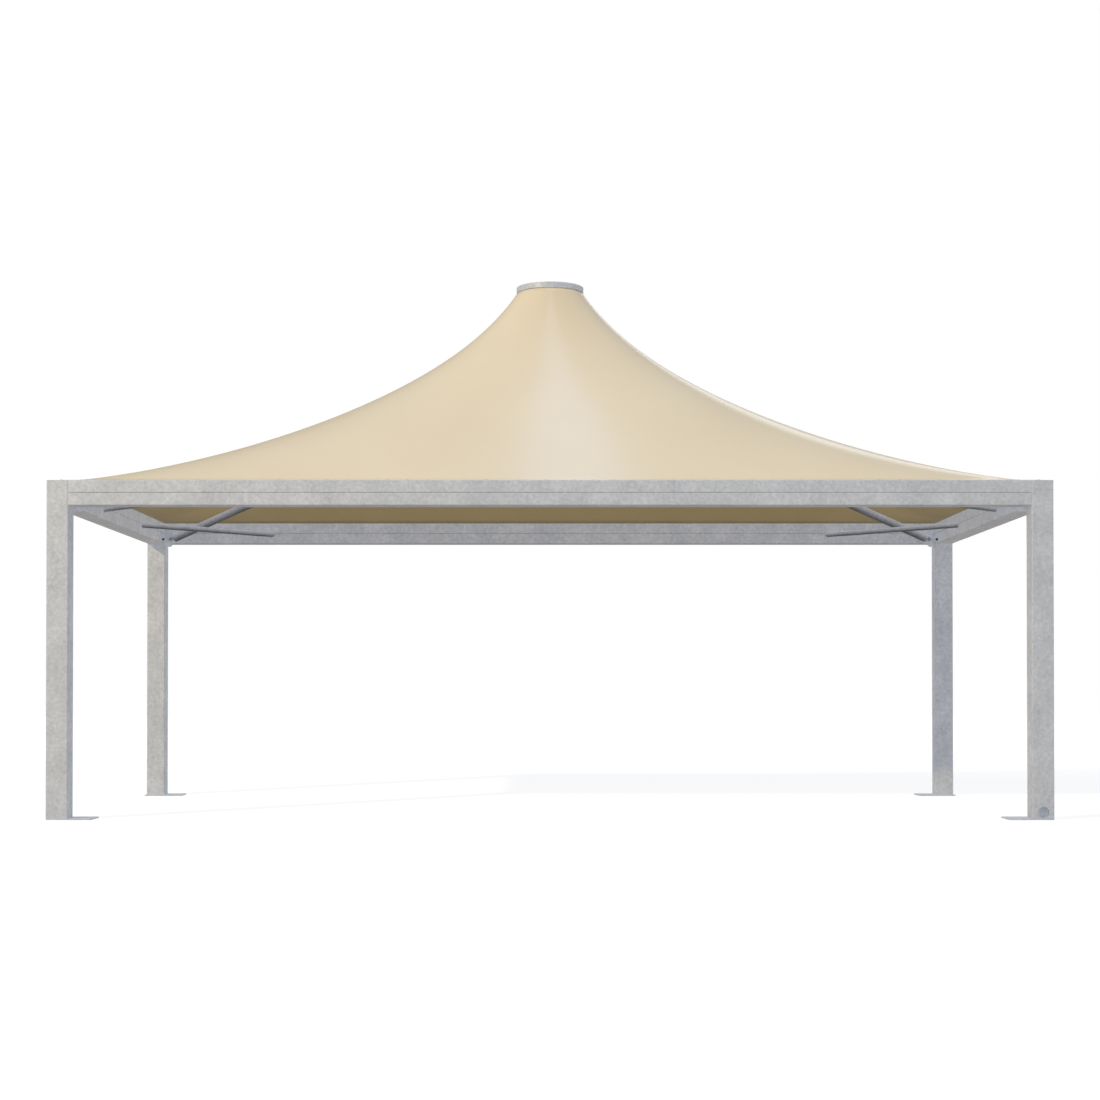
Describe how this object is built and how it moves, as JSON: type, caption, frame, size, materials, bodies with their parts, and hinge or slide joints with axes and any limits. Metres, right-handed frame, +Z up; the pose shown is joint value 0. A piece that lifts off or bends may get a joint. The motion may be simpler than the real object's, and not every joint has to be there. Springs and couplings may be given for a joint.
{
  "type": "garden gazebo",
  "caption": "Rectangular steel gazebo: posts on base plates, stacked beams, corner knee braces, sloping struts to a central mast, and a stretched membrane canopy rising to a round crown",
  "frame": {"origin": "On the ground under the middle of the crown, midway between the four posts.", "axes": "+X runs to the right along the long side, +Y to the back across the short side, +Z up. The front is the long side at -Y."},
  "size_m": [8, 4, 4.65],
  "materials": {
    "galvanised": "hot-dip galvanised, dull mottled grey",
    "aluminium": "plain mill finish",
    "bolt_steel": "zinc plated",
    "membrane": "coated polyester membrane, smooth satin beige"
  },
  "bodies": {
    "root": {"back_clamp_rail": "aluminium", "back_left_base_plate": "galvanised", "back_left_gusset": "galvanised", "back_left_knee_brace": "galvanised", "back_left_post": "galvanised", "back_left_strut": "galvanised", "back_left_strut_bolt": "bolt_steel", "back_lower_beam": "galvanised", "back_right_base_plate": "galvanised", "back_right_gusset": "galvanised", "back_right_knee_brace": "galvanised", "back_right_post": "galvanised", "back_right_strut": "galvanised", "back_right_strut_bolt": "bolt_steel", "back_upper_beam": "galvanised", "canopy": "membrane", "centre_hub": "galvanised", "crown_cap": "galvanised", "crown_plate": "galvanised", "crown_ring": "galvanised", "front_clamp_rail": "aluminium", "front_left_base_plate": "galvanised", "front_left_gusset": "galvanised", "front_left_knee_brace": "galvanised", "front_left_post": "galvanised", "front_left_strut": "galvanised", "front_left_strut_bolt": "bolt_steel", "front_lower_beam": "galvanised", "front_right_base_plate": "galvanised", "front_right_gusset": "galvanised", "front_right_knee_brace": "galvanised", "front_right_post": "galvanised", "front_right_strut": "galvanised", "front_right_strut_bolt": "bolt_steel", "front_upper_beam": "galvanised", "left_clamp_rail": "aluminium", "left_lower_beam": "galvanised", "left_upper_beam": "galvanised", "mast": "galvanised", "right_clamp_rail": "aluminium", "right_lower_beam": "galvanised", "right_upper_beam": "galvanised"}
  },
  "joints": []
}
